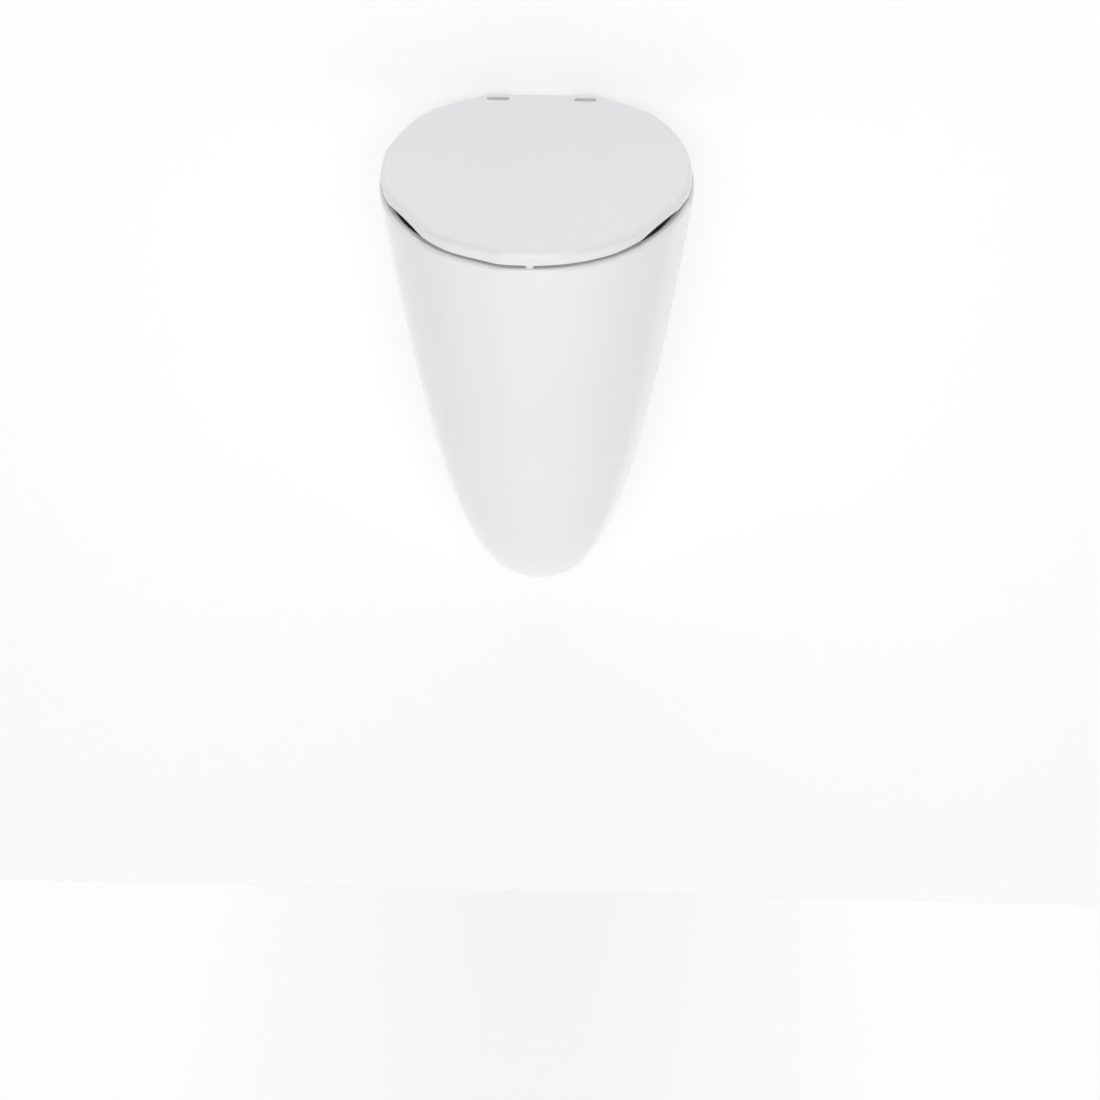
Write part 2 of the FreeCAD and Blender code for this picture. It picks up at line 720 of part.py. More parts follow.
eye_low = hinge_x - S.hinge_eye_width / 2.0
pocket_low = eye_low - S.lid_pocket_clear
pocket_width = S.hinge_eye_width + S.lid_pocket_clear * 2.0
pocket_high = pocket_low + pocket_width
slot_depth = S.hinge_eye_dia + S.lid_slot_clear * 2.0
slot_length = S.hinge_eye_width + (S.lid_slot_clear + S.lid_slot_end_room) * 2.0
lid_tools_right = [
    rim_box("lid_pocket", pocket_width, S.lid_beam_depth + 30.0, lid_under - lid_low + 1.0,
            pocket_low, S.lid_beam_depth + 10.0, lid_low - 1.0),
    rim_box("lid_slot", slot_length - slot_depth, slot_depth, S.lid_skin + 2.0,
            hinge_x - (slot_length - slot_depth) / 2.0, S.hinge_axis_depth + slot_depth / 2.0, lid_under - 1.0),
    rim_cylinder("lid_damper_bore", S.damper_dia + S.running_clear * 2.0,
                 S.damper_length + S.running_clear + 1.0,
                 pocket_low - S.damper_length - S.running_clear, S.hinge_axis_depth, S.hinge_axis_rise, "X"),
    rim_cylinder("lid_shaft_bore", S.damper_shaft_dia + S.running_clear * 2.0,
                 S.damper_shaft_tail + S.running_clear * 2.0 + 1.0,
                 pocket_high - 1.0, S.hinge_axis_depth, S.hinge_axis_rise, "X")]
for end, sign in SIDES:
    lid_tools_right.append(rim_cylinder("lid_slot_end_" + end, slot_depth, S.lid_skin + 2.0,
                                        hinge_x + (slot_length - slot_depth) / 2.0 * sign,
                                        S.hinge_axis_depth, lid_under - 1.0))
lid_tools_one = fuse("lid_tools_right", lid_tools_right)
pin_holes = []
for label, x, out in BUFFERS:
    pin_holes.append(rim_cylinder("buffer_hole_" + label, S.buffer_pin_dia + S.running_clear * 2.0,
                                  S.buffer_pin_length + S.running_clear + 1.0, x, out, lid_low - 1.0))
pin_holes.append(mirror("buffer_hole_left", pin_holes[1]))
lid_hollowed = cut("lid_hollowed", lid_rounded, lid_hollow)
lid_recessed = cut("lid_recessed", lid_hollowed, finger_recess)
lid = cut("lid_shell", lid_recessed, fuse("lid_cuts", [lid_tools_one, mirror("lid_tools_left", lid_tools_one)]
                                          + pin_holes))

buffers = []
for label, x, out in BUFFERS:
    disc = rim_cylinder("buffer_disc_" + label, S.buffer_dia, S.lid_gap - S.buffer_rest,
                        x, out, S.buffer_rest)
    pin = rim_cylinder("buffer_pin_" + label, S.buffer_pin_dia, S.buffer_pin_length + 1.0,
                       x, out, lid_low - 1.0)
    buffers.append(fuse("buffer_" + label, [disc, pin]))
front_buffer = buffers[0]
rear_buffers = pair("rear_buffer_pair", [buffers[1], mirror("buffer_left", buffers[1])])

damper_barrel = rim_cylinder("damper_barrel", S.damper_dia, S.damper_length,
                             pocket_low - S.damper_length, S.hinge_axis_depth, S.hinge_axis_rise, "X")
damper_shaft = rim_cylinder("damper_shaft", S.damper_shaft_dia,
                            pocket_width + S.damper_shaft_tail + 1.0,
                            pocket_low - 1.0, S.hinge_axis_depth, S.hinge_axis_rise, "X")
damper_right = fuse("damper_right", [damper_barrel, damper_shaft])
damper_left = mirror("damper_left", damper_right)

# ---- hinge posts and their fixing through the deck ----
base_low = recess_floor + S.hinge_gasket_thickness
base_top = base_low + S.hinge_base_thickness
arm_turn = S.rim_slope - S.hinge_arm_angle
arm_length = (S.hinge_axis_rise - base_low) / cosine(S.hinge_arm_angle) + S.hinge_eye_dia
hinge_arm = doc.addObject("Part::Box", "hinge_arm")
bind(hinge_arm, "Length", S.hinge_eye_width)
bind(hinge_arm, "Width", S.hinge_eye_dia)
bind(hinge_arm, "Height", arm_length)
hinge_arm.Placement.Rotation = FreeCAD.Rotation(-X_AXIS, -arm_turn.value)
bind(hinge_arm, "Placement.Rotation.Angle", -arm_turn)
axis_y = -(S.hinge_axis_depth * cosine(S.rim_slope)) - S.hinge_axis_rise * sine(S.rim_slope)
axis_z = (up(rim_back_height) - S.hinge_axis_depth * sine(S.rim_slope)
          + S.hinge_axis_rise * cosine(S.rim_slope))
place(hinge_arm, eye_low,
      axis_y - S.hinge_eye_dia / 2.0 * cosine(arm_turn) + arm_length * sine(arm_turn),
      axis_z - S.hinge_eye_dia / 2.0 * sine(arm_turn) - arm_length * cosine(arm_turn))
hinge_base = rim_cylinder("hinge_base", S.hinge_base_dia, S.hinge_base_thickness,
                          hinge_x, S.hinge_base_depth, base_low)
hinge_eye = rim_cylinder("hinge_eye", S.hinge_eye_dia, S.hinge_eye_width,
                         eye_low, S.hinge_axis_depth, S.hinge_axis_rise, "X")
hinge_solid = fuse("hinge_solid", [hinge_base, hinge_arm, hinge_eye])
hinge_cuts = fuse("hinge_cuts", [
    rim_slab("below_base", base_low - S.deck_thickness * 2.0, base_low),
    rim_cylinder("hinge_eye_bore", S.damper_shaft_dia + S.running_clear * 2.0, S.hinge_eye_width * 2.0,
                 eye_low - S.hinge_eye_width / 2.0, S.hinge_axis_depth, S.hinge_axis_rise, "X"),
    rim_cylinder("hinge_base_hole", S.hinge_bolt_dia + S.seat_clear * 2.0, S.hinge_base_thickness * 3.0,
                 hinge_x, S.hinge_base_depth, base_low - S.hinge_base_thickness)])
hinge_right = cut("hinge_right", hinge_solid, hinge_cuts)
hinge_left = mirror("hinge_left", hinge_right)


def rim_ring(name, outer_dia, inner_dia, length, rise):
    outer = rim_cylinder(name + "_outer", outer_dia, length, hinge_x, S.hinge_base_depth, rise)
    inner = rim_cylinder(name + "_inner", inner_dia, length, hinge_x, S.hinge_base_depth, rise)
    return cut(name + "_right", outer, inner)


def both(name, right):
    return pair(name + "_pair", [right, mirror(name + "_left", right)])


bolt_hole = S.hinge_bolt_dia + S.seat_clear * 2.0
hinge_gaskets = both("hinge_gasket", rim_ring("hinge_gasket", S.hinge_base_dia, bolt_hole,
                                              S.hinge_gasket_thickness, recess_floor))
hinge_washers = both("hinge_washer", rim_ring("hinge_washer", S.hinge_washer_dia, bolt_hole,
                                              S.hinge_washer_thickness, deck_under - S.hinge_washer_thickness))
hinge_nuts = both("hinge_nut", rim_ring("hinge_nut", S.hinge_nut_dia,
                                        S.hinge_bolt_dia + S.running_clear * 2.0, S.hinge_nut_length,
                                        deck_under - S.hinge_washer_thickness - S.hinge_nut_length))
bolt_shank = rim_cylinder("bolt_shank", S.hinge_bolt_dia, S.hinge_bolt_length + 1.0,
                          hinge_x, S.hinge_base_depth, base_top - S.hinge_bolt_length)
bolt_head = rim_cylinder("bolt_head", S.hinge_bolt_head_dia, S.hinge_bolt_head_thickness,
                         hinge_x, S.hinge_base_depth, base_top)
hinge_bolts = both("hinge_bolt", fuse("hinge_bolt_right", [bolt_shank, bolt_head]))

# ---- wall studs ----
stud_x = S.stud_spacing / 2.0
seat_depth = S.stud_boss_depth


def stud_ring(name, outer_dia, inner_dia, length, near):
    return both(name, ring(name + "_right", outer_dia, inner_dia, length, stud_x, -near,
                           up(S.stud_height), "OUT"))


wall_shank = cylinder("wall_shank", S.stud_dia, S.stud_in_wall + S.stud_shank_reach,
                      stud_x, S.stud_in_wall, up(S.stud_height), "OUT")
wall_thread = cylinder("wall_thread", S.stud_thread_dia, S.stud_out,
                       stud_x, 0.0, up(S.stud_height), "OUT")
wall_studs = both("wall_stud", fuse("wall_stud_right", [wall_shank, wall_thread]))
stud_hole = S.stud_thread_dia + S.seat_clear * 2.0
stud_sleeves = stud_ring("stud_sleeve", S.stud_hole_dia - S.seat_clear * 2.0, stud_hole,
                         seat_depth - S.stud_boss_near_depth, S.stud_boss_near_depth)
stud_washers = stud_ring("stud_washer", S.stud_washer_dia, stud_hole, S.stud_washer_thickness, seat_depth)
nut_near = seat_depth + S.stud_washer_thickness
stud_nut_body = hexagon("stud_nut_body", S.stud_nut_flats, S.stud_nut_thickness,
                        stud_x, -nut_near, up(S.stud_height), "OUT")
stud_nut_bore = cylinder("stud_nut_bore", S.stud_thread_dia + S.running_clear * 2.0, S.stud_nut_thickness,
                         stud_x, -nut_near, up(S.stud_height), "OUT")
stud_nuts = both("stud_nut", cut("stud_nut_right", stud_nut_body, stud_nut_bore))
cap_body = cylinder("cap_body", S.stud_cap_dia, S.stud_cap_length, stud_x, -nut_near, up(S.stud_height), "OUT")
cap_room = cylinder("cap_room", S.stud_cap_dia - S.stud_cap_wall * 2.0, S.stud_cap_length - S.stud_cap_wall,
                    stud_x, -nut_near, up(S.stud_height), "OUT")
stud_caps = both("stud_cap", cut("stud_cap_right", cap_body, cap_room))

# ---- water inlet ----
wall_back = S.bowl_floor_back_depth - S.bowl_wall
flange_near = S.inlet_boss_front_depth + S.spreader_gasket_thickness
head_near = flange_near + S.spreader_flange_thickness
inlet_z = up(S.inlet_height)
inlet_pipe = cut("inlet_tube", fuse("inlet_tube_outer", [
    cylinder("inlet_tube_wall", S.inlet_pipe_dia, S.inlet_pipe_in_wall + S.inlet_pipe_out,
             0.0, S.inlet_pipe_in_wall, inlet_z, "OUT"),
    cylinder("inlet_collar", S.inlet_collar_dia, S.pipe_collar_length, 0.0, 0.0, inlet_z, "OUT")]),
    cylinder("inlet_tube_bore", S.inlet_pipe_bore, S.inlet_pipe_in_wall + S.inlet_pipe_out,
             0.0, S.inlet_pipe_in_wall, inlet_z, "OUT"))
inlet_seal = ring("inlet_lip_seal", S.inlet_seal_dia, S.inlet_pipe_dia + S.running_clear * 2.0,
                  S.inlet_seal_thickness, 0.0, -(S.spreader_tail_back_depth - S.inlet_seal_thickness),
                  inlet_z, "OUT")
spreader_solid = fuse("spreader_solid", [
    cylinder("spreader_tail", S.spreader_tail_dia, flange_near - S.spreader_tail_back_depth + 1.0,
             0.0, -S.spreader_tail_back_depth, inlet_z, "OUT"),
    cylinder("spreader_flange", S.spreader_flange_dia, S.spreader_flange_thickness,
             0.0, -flange_near, inlet_z, "OUT"),
    cylinder("spreader_head", S.spreader_head_dia, S.spreader_head_length + 1.0,
             0.0, -(head_near - 1.0), inlet_z, "OUT")])
spreader_cuts = fuse("spreader_cuts", [
    cylinder("spreader_socket", S.inlet_pipe_dia + S.seat_clear * 2.0,
             S.inlet_pipe_out - S.spreader_tail_back_depth + 2.0,
             0.0, -(S.spreader_tail_back_depth - 1.0), inlet_z, "OUT"),
    cylinder("spreader_bore", S.inlet_pipe_bore, head_near + S.spreader_head_length / 2.0 + 4.0
             - S.spreader_tail_back_depth, 0.0, -S.spreader_tail_back_depth, inlet_z, "OUT"),
    box("spreader_slot", S.spreader_slot_width, S.spreader_slot_depth, S.spreader_head_dia,
        -S.spreader_slot_width / 2.0,
        -(head_near + (S.spreader_head_length + S.spreader_slot_depth) / 2.0), inlet_z - S.spreader_head_dia)])
spreader_body = cut("spreader_shell", spreader_solid, spreader_cuts)
spreader_gasket = ring("spreader_ring", S.spreader_flange_dia - 2.0, S.spreader_tail_dia + S.seat_clear * 2.0,
                       S.spreader_gasket_thickness, 0.0, -S.inlet_boss_front_depth, inlet_z, "OUT")
spreader_nut_body = hexagon("spreader_nut_body", S.spreader_nut_flats, S.spreader_nut_thickness,
                            0.0, -(wall_back - S.spreader_nut_thickness), inlet_z, "OUT")
spreader_nut_bore = cylinder("spreader_nut_bore", S.spreader_tail_dia + S.running_clear * 2.0,
                             S.spreader_nut_thickness,
                             0.0, -(wall_back - S.spreader_nut_thickness), inlet_z, "OUT")
spreader_nut = cut("spreader_ring_nut", spreader_nut_body, spreader_nut_bore)

# ---- waste ----
waste_y = -S.waste_depth
flange_low = waste_floor + S.waste_gasket_thickness
flange_top = flange_low + S.waste_flange_thickness
rebate_floor = flange_top - S.waste_rebate_drop


def upright_ring(name, outer_dia, inner_dia, low, high):
    return ring(name, outer_dia, inner_dia, high - low, 0.0, waste_y, up(low))


def upright(name, dia, low, high):
    return cylinder(name, dia, high - low, 0.0, waste_y, up(low))


waste_gasket = upright_ring("waste_seal", S.waste_flange_dia - 2.0, S.waste_tail_dia + S.seat_clear * 2.0,
                            waste_floor, flange_low)
waste_body = cut("waste_shell", fuse("waste_solid", [
    upright("waste_flange", S.waste_flange_dia, flange_low, flange_top),
    upright("waste_tail", S.waste_tail_dia, flange_low - S.waste_tail_length, flange_low + 1.0)]),
    fuse("waste_cuts", [
        upright("waste_bore", S.waste_bore_dia, flange_low - S.waste_tail_length - 1.0, flange_top + 1.0),
        upright("waste_rebate", S.waste_rebate_dia, rebate_floor, flange_top + 1.0)]))
nut_top = waste_under - S.waste_washer_thickness
waste_washer = upright_ring("waste_lower_seal", S.waste_nut_dia, S.waste_tail_dia + S.seat_clear * 2.0,
                            nut_top, waste_under)
waste_nut = upright_ring("waste_ring_nut", S.waste_nut_dia, S.waste_tail_dia + S.running_clear * 2.0,
                         nut_top - S.waste_nut_thickness, nut_top)
disc_dia = S.waste_rebate_dia - S.seat_clear * 2.0
dip_top = rebate_floor + S.dip_flange_thickness
dip_tube = cut("dip_shell", fuse("dip_solid", [
    upright("dip_flange", disc_dia, rebate_floor, dip_top),
    upright("dip_body", S.dip_tube_dia, S.dip_tube_end_height, dip_top)]),
    upright("dip_bore", S.dip_tube_dia - S.dip_tube_wall * 2.0, S.dip_tube_end_height - 1.0, dip_top + 1.0))
strainer_disc = upright("strainer_disc", disc_dia, dip_top, dip_top + S.strainer_thickness)
strainer_holes = [upright("strainer_hole_middle", S.strainer_hole_dia, dip_top - 1.0,
                          dip_top + S.strainer_thickness + 1.0)]
for ring_no, (holes_count, ring_share) in enumerate(((STRAINER_HOLES, 0.5), (STRAINER_HOLES * 2, 1.0))):
    for step in range(holes_count):
        turn_at = 2.0 * math.pi * step / holes_count
        across = S.strainer_ring_dia / 2.0 * ring_share
        strainer_holes.append(cylinder("strainer_hole_%d_%d" % (ring_no, step), S.strainer_hole_dia,
                                       S.strainer_thickness + 2.0, across * math.cos(turn_at),
                                       waste_y + across * math.sin(turn_at), up(dip_top - 1.0)))
strainer = cut("strainer_plate", strainer_disc, pair("strainer_holes", strainer_holes))

# ---- trap ----
outlet_z = up(outlet_height)
neck_bore = S.waste_tail_dia + S.seat_clear * 2.0
trap_outer = fuse("trap_outer", [
    upright("trap_cup", S.trap_dia, S.trap_bottom_height, trap_shoulder),
    upright("trap_neck", S.trap_neck_dia, trap_shoulder - 1.0, trap_neck),
    cylinder("trap_socket", S.outlet_socket_dia, S.waste_depth - S.outlet_socket_end_depth,
             0.0, -S.outlet_socket_end_depth, outlet_z, "OUT")])
trap_inner = fuse("trap_inner", [
    upright("trap_room", S.trap_dia - S.trap_wall * 2.0, S.trap_bottom_height + S.trap_wall,
            trap_shoulder - S.trap_wall),
    upright("trap_neck_bore", neck_bore, trap_shoulder - S.trap_wall - 1.0, trap_neck + 1.0),
    cylinder("trap_socket_bore", S.outlet_pipe_dia + S.seat_clear * 2.0, S.outlet_pipe_insert + 2.0,
             0.0, -(S.outlet_socket_end_depth - 1.0), outlet_z, "OUT"),
    cylinder("trap_way_out", S.outlet_pipe_dia - S.outlet_pipe_wall * 2.0,
             S.waste_depth - S.outlet_socket_end_depth, 0.0, -S.outlet_socket_end_depth, outlet_z, "OUT")])
trap_housing = cut("trap_shell", trap_outer, trap_inner)
seal_top = trap_neck + S.trap_seal_thickness
trap_seal = upright_ring("trap_ring_seal", S.trap_neck_dia, neck_bore, trap_neck, seal_top)
trap_nut_top = seal_top + S.trap_nut_lip
trap_nut = cut("trap_ring_nut", upright("trap_nut_body", S.trap_nut_dia, trap_nut_top - S.trap_nut_length,
                                        trap_nut_top),
               fuse("trap_nut_bores", [
                   upright("trap_nut_wide", S.trap_neck_dia + S.seat_clear * 2.0,
                           trap_nut_top - S.trap_nut_length - 1.0, seal_top),
                   upright("trap_nut_narrow", neck_bore, seal_top - 1.0, trap_nut_top + 1.0)]))
outlet_length = S.outlet_pipe_in_wall + S.outlet_socket_end_depth + S.outlet_pipe_insert
outlet_pipe = cut("outlet_tube", fuse("outlet_tube_outer", [
    cylinder("outlet_tube_wall", S.outlet_pipe_dia, outlet_length, 0.0, S.outlet_pipe_in_wall, outlet_z, "OUT"),
    cylinder("outlet_collar", S.outlet_collar_dia, S.pipe_collar_length, 0.0, 0.0, outlet_z, "OUT")]),
    cylinder("outlet_tube_bore", S.outlet_pipe_dia - S.outlet_pipe_wall * 2.0, outlet_length,
             0.0, S.outlet_pipe_in_wall, outlet_z, "OUT"))
out_hole = S.outlet_pipe_dia + S.seat_clear * 2.0
seal_near = S.outlet_socket_end_depth - S.outlet_seal_thickness
outlet_seal = ring("outlet_ring_seal", S.outlet_socket_dia, out_hole, S.outlet_seal_thickness,
                   0.0, -seal_near, outlet_z, "OUT")
out_nut_near = seal_near - S.outlet_nut_lip
outlet_nut = cut("outlet_ring_nut", cylinder("outlet_nut_body", S.outlet_nut_dia, S.outlet_nut_length,
                                             0.0, -out_nut_near, outlet_z, "OUT"),
                 fuse("outlet_nut_bores", [
                     cylinder("outlet_nut_narrow", out_hole, S.outlet_nut_length,
                              0.0, -(out_nut_near - 1.0), outlet_z, "OUT"),
                     cylinder("outlet_nut_wide", S.outlet_socket_dia + S.seat_clear * 2.0,
                              S.outlet_nut_length, 0.0, -seal_near, outlet_z, "OUT")]))

NODES = (
    ("ceramic_body", ceramic),
    ("lid", lid),
    ("front_buffer", front_buffer),
    ("rear_buffers", rear_buffers),
    ("hinge_damper_left", damper_left),
    ("hinge_damper_right", damper_right),
    ("hinge_post_left", hinge_left),
    ("hinge_post_right", hinge_right),
    ("hinge_gaskets", hinge_gaskets),
    ("hinge_bolts", hinge_bolts),
    ("hinge_washers", hinge_washers),
    ("hinge_nuts", hinge_nuts),
    ("wall_studs", wall_studs),
    ("stud_sleeves", stud_sleeves),
    ("stud_washers", stud_washers),
    ("stud_nuts", stud_nuts),
    ("stud_caps", stud_caps),
    ("inlet_pipe", inlet_pipe),
    ("inlet_seal", inlet_seal),
    ("spreader_body", spreader_body),
    ("spreader_gasket", spreader_gasket),
    ("spreader_nut", spreader_nut),
    ("waste_body", waste_body),
    ("waste_gasket", waste_gasket),
    ("waste_washer", waste_washer),
    ("waste_nut", waste_nut),
    ("strainer", strainer),
    ("trap_dip_tube", dip_tube),
    ("trap_housing", trap_housing),
    ("trap_seal", trap_seal),
    ("trap_union_nut", trap_nut),
    ("outlet_pipe", outlet_pipe),
    ("outlet_seal", outlet_seal),
    ("outlet_nut", outlet_nut),
)
doc.recompute()
for obj in doc.Objects:
    if "Invalid" in obj.State or "Error" in obj.State:
        raise RuntimeError("%s did not recompute" % obj.Name)
os.makedirs(PARTS_DIR, exist_ok=True)
for label, obj in NODES:
    if obj.Shape.isNull() or not obj.Shape.isValid() or not obj.Shape.Solids:
        raise RuntimeError("%s has no valid solid" % label)
    obj.Label = label
    obj.Shape.exportStep("%s/%s.step" % (PARTS_DIR, label))
    box_ = obj.Shape.optimalBoundingBox()
    print("%-20s %d solids %9.0f mm3  x %7.1f %7.1f  y %7.1f %7.1f  z %7.1f %7.1f" % (
        label, len(obj.Shape.Solids), obj.Shape.Volume,
        box_.XMin, box_.XMax, box_.YMin, box_.YMax, box_.ZMin, box_.ZMax))
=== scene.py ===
"""Looks of the wall-hung urinal with a hinged lid: glaze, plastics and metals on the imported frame,
a plain wall and floor, soft light and the camera. Metres, wall face at Y = 0."""

import math

import bpy
from mathutils import Matrix, Vector

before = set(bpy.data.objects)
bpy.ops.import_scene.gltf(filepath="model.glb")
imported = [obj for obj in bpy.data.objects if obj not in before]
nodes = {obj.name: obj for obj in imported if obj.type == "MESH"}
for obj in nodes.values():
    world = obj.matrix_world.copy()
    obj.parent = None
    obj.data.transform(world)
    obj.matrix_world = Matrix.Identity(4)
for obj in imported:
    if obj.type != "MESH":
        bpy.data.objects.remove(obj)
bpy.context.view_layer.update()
scene = bpy.context.scene

# ---------------------------------------------------------------- camera
PHOTO_SIDE = 1100.0          # pixels, the photograph is square
FOCAL_PIXELS = 2000.0        # focal length in those pixels
CENTRE = (549.5, 550.0)      # principal point, pixels
SENSOR = 36.0                # mm
CAMERA_AT = Vector((0.0656, -1.9759, 0.7534))
PITCH = math.radians(30.0)   # down
YAW = math.radians(-1.619)   # towards +X
ROLL = math.radians(0.341)

ahead = Vector((math.sin(YAW) * math.cos(PITCH), math.cos(YAW) * math.cos(PITCH), -math.sin(PITCH)))
level = Vector((math.cos(YAW), -math.sin(YAW), 0.0))
upward = level.cross(ahead)
right = level * math.cos(ROLL) + upward * math.sin(ROLL)
up = upward * math.cos(ROLL) - level * math.sin(ROLL)

camera_data = bpy.data.cameras.new("camera")
camera_data.sensor_width = SENSOR
camera_data.lens = FOCAL_PIXELS * SENSOR / PHOTO_SIDE
camera_data.shift_x = (PHOTO_SIDE / 2.0 - CENTRE[0]) / PHOTO_SIDE
camera_data.shift_y = (CENTRE[1] - PHOTO_SIDE / 2.0) / PHOTO_SIDE
camera_data.clip_start = 0.05
camera_data.clip_end = 50.0
camera = bpy.data.objects.new("camera", camera_data)
scene.collection.objects.link(camera)
placed = Matrix((right, up, -ahead)).transposed().to_4x4()
placed.translation = CAMERA_AT
camera.matrix_world = placed
scene.camera = camera


# ---------------------------------------------------------------- materials
class Mat:
    """A node material with a Principled shader and small helpers."""

    def __init__(self, name):
        self.mat = bpy.data.materials.new(name)
        self.mat.use_nodes = True
        self.tree = self.mat.node_tree
        self.bsdf = self.tree.nodes["Principled BSDF"]

    def new(self, kind, **values):
        node = self.tree.nodes.new(kind)
        for key, value in values.items():
            setattr(node, key, value)
        return node

    def link(self, a, b):
        self.tree.links.new(a, b)

    def place(self, stretch=(1.0, 1.0, 1.0)):
        """Object coordinates in metres, stretched per axis."""
        coords = self.new("ShaderNodeTexCoord")
        mapping = self.new("ShaderNodeMapping")
        mapping.inputs["Scale"].default_value = stretch
        self.link(coords.outputs["Object"], mapping.inputs["Vector"])
        return mapping.outputs["Vector"]

    def noise(self, scale, detail=2.0, rough=0.5, stretch=(1.0, 1.0, 1.0)):
        node = self.new("ShaderNodeTexNoise")
        node.inputs["Scale"].default_value = scale
        node.inputs["Detail"].default_value = detail
        node.inputs["Roughness"].default_value = rough
        self.link(self.place(stretch), node.inputs["Vector"])
        return node.outputs["Fac"]

    def ramp(self, value, stops):
        node = self.new("ShaderNodeValToRGB")
        band = node.color_ramp
        while len(band.elements) < len(stops):
            band.elements.new(0.5)
        for element, (at, colour) in zip(band.elements, stops):
            element.position = at
            element.color = (*colour, 1.0)
        self.link(value, node.inputs["Fac"])
        return node.outputs["Color"]

    def spread(self, value, low, high, at_low, at_high):
        node = self.new("ShaderNodeMapRange")
        node.inputs["From Min"].default_value = low
        node.inputs["From Max"].default_value = high
        node.inputs["To Min"].default_value = at_low
        node.inputs["To Max"].default_value = at_high
        self.link(value, node.inputs["Value"])
        return node.outputs["Result"]

    def bump(self, height, strength, distance, under=None):
        node = self.new("ShaderNodeBump")
        node.inputs["Strength"].default_value = strength
        node.inputs["Distance"].default_value = distance
        self.link(height, node.inputs["Height"])
        if under is not None:
            self.link(under, node.inputs["Normal"])
        return node.outputs["Normal"]

    def set(self, **values):
        for key, value in values.items():
            self.bsdf.inputs[key.replace("_", " ")].default_value = value

    def join(self, **values):
        for key, value in values.items():
            self.link(value, self.bsdf.inputs[key.replace("_", " ")])


def shade(colour, by):
    return tuple(c * by for c in colour)


def glaze():
    """Vitreous china: a thick clear glaze over white clay, faintly wavy, with a few tiny pinholes."""
    m = Mat("glazed_ceramic")
    white = (0.842, 0.849, 0.862)
    tone = m.noise(7.0, 3.0, 0.55)
    m.join(Base_Color=m.ramp(tone, [(0.3, shade(white, 0.985)), (0.7, white)]))
    m.set(IOR=1.52, Coat_Weight=0.35, Coat_Roughness=0.03, Coat_IOR=1.5)
    m.join(Roughness=m.spread(m.noise(45.0, 2.0), 0.3, 0.7, 0.10, 0.15))
    wave = m.bump(m.noise(9.0, 1.5, 0.4), 0.12, 0.004)
    grain = m.bump(m.noise(260.0, 2.0, 0.5), 0.035, 0.0004, wave)
    m.join(Normal=grain)
    return m.mat


def gloss_lid():
    """Moulded thermoset: as white as the glaze, a little softer in its reflections."""
    m = Mat("lid_plastic")
    white = (0.835, 0.842, 0.856)
    m.join(Base_Color=m.ramp(m.noise(5.0, 2.0, 0.5), [(0.35, shade(white, 0.99)), (0.65, white)]))
    m.set(IOR=1.5, Coat_Weight=0.2, Coat_Roughness=0.06)
    m.join(Roughness=m.spread(m.noise(90.0, 3.0), 0.3, 0.7, 0.17, 0.22))
    m.join(Normal=m.bump(m.noise(420.0, 2.0, 0.5), 0.05, 0.0003))
    return m.mat


def brushed(name, colour, rough, stretch, scale=160.0, strength=0.12):
    """Drawn or turned metal with fine lines along one direction."""
    m = Mat(name)
    lines = m.noise(scale, 4.0, 0.65, stretch)
    m.join(Base_Color=m.ramp(lines, [(0.3, shade(colour, 0.86)), (0.7, colour)]))
    m.set(Metallic=1.0)
    m.join(Roughness=m.spread(lines, 0.3, 0.7, rough * 0.8, rough * 1.25))
    m.join(Normal=m.bump(lines, strength, 0.0004))
    return m.mat


def chrome():
    m = Mat("pipe_chrome")
    smear = m.noise(30.0, 3.0, 0.6)
    m.join(Base_Color=m.ramp(smear, [(0.3, (0.74, 0.75, 0.77)), (0.7, (0.80, 0.81, 0.82))]))
    m.set(Metallic=1.0)
    m.join(Roughness=m.spread(smear, 0.3, 0.7, 0.05, 0.13))
    m.join(Normal=m.bump(m.noise(55.0, 2.0), 0.03, 0.0006))
    return m.mat


def brass():
    m = Mat("nut_brass")
    spots = m.noise(120.0, 4.0, 0.6)
    m.join(Base_Color=m.ramp(spots, [(0.28, (0.50, 0.37, 0.16)), (0.62, (0.72, 0.56, 0.27))]))
    m.set(Metallic=1.0)
    m.join(Roughness=m.spread(spots, 0.3, 0.7, 0.36, 0.24))
    m.join(Normal=m.bump(m.noise(500.0, 3.0), 0.1, 0.0003))
    return m.mat


def rubber(name, colour, rough=0.62):
    m = Mat(name)
    dust = m.noise(170.0, 4.0, 0.7)
    m.join(Base_Color=m.ramp(dust, [(0.3, shade(colour, 0.85)), (0.75, shade(colour, 1.1))]))
    m.set(IOR=1.45, Sheen_Weight=0.08)
    m.join(Roughness=m.spread(dust, 0.3, 0.7, rough - 0.07, rough + 0.08))
    m.join(Normal=m.bump(m.noise(900.0, 2.0), 0.15, 0.0002))
    return m.mat


def moulded(name, colour, rough, grain=700.0, strength=0.14):
    """Injection-moulded plastic: fine even grain, faint flow clouds."""
    m = Mat(name)
    cloud = m.noise(28.0, 2.0, 0.5)
    m.join(Base_Color=m.ramp(cloud, [(0.3, shade(colour, 0.955)), (0.7, colour)]))
    m.set(IOR=1.46)
    m.join(Roughness=m.spread(m.noise(240.0, 2.0), 0.3, 0.7, rough - 0.05, rough + 0.06))
    m.join(Normal=m.bump(m.noise(grain, 3.0, 0.6), strength, 0.0003))
    return m.mat


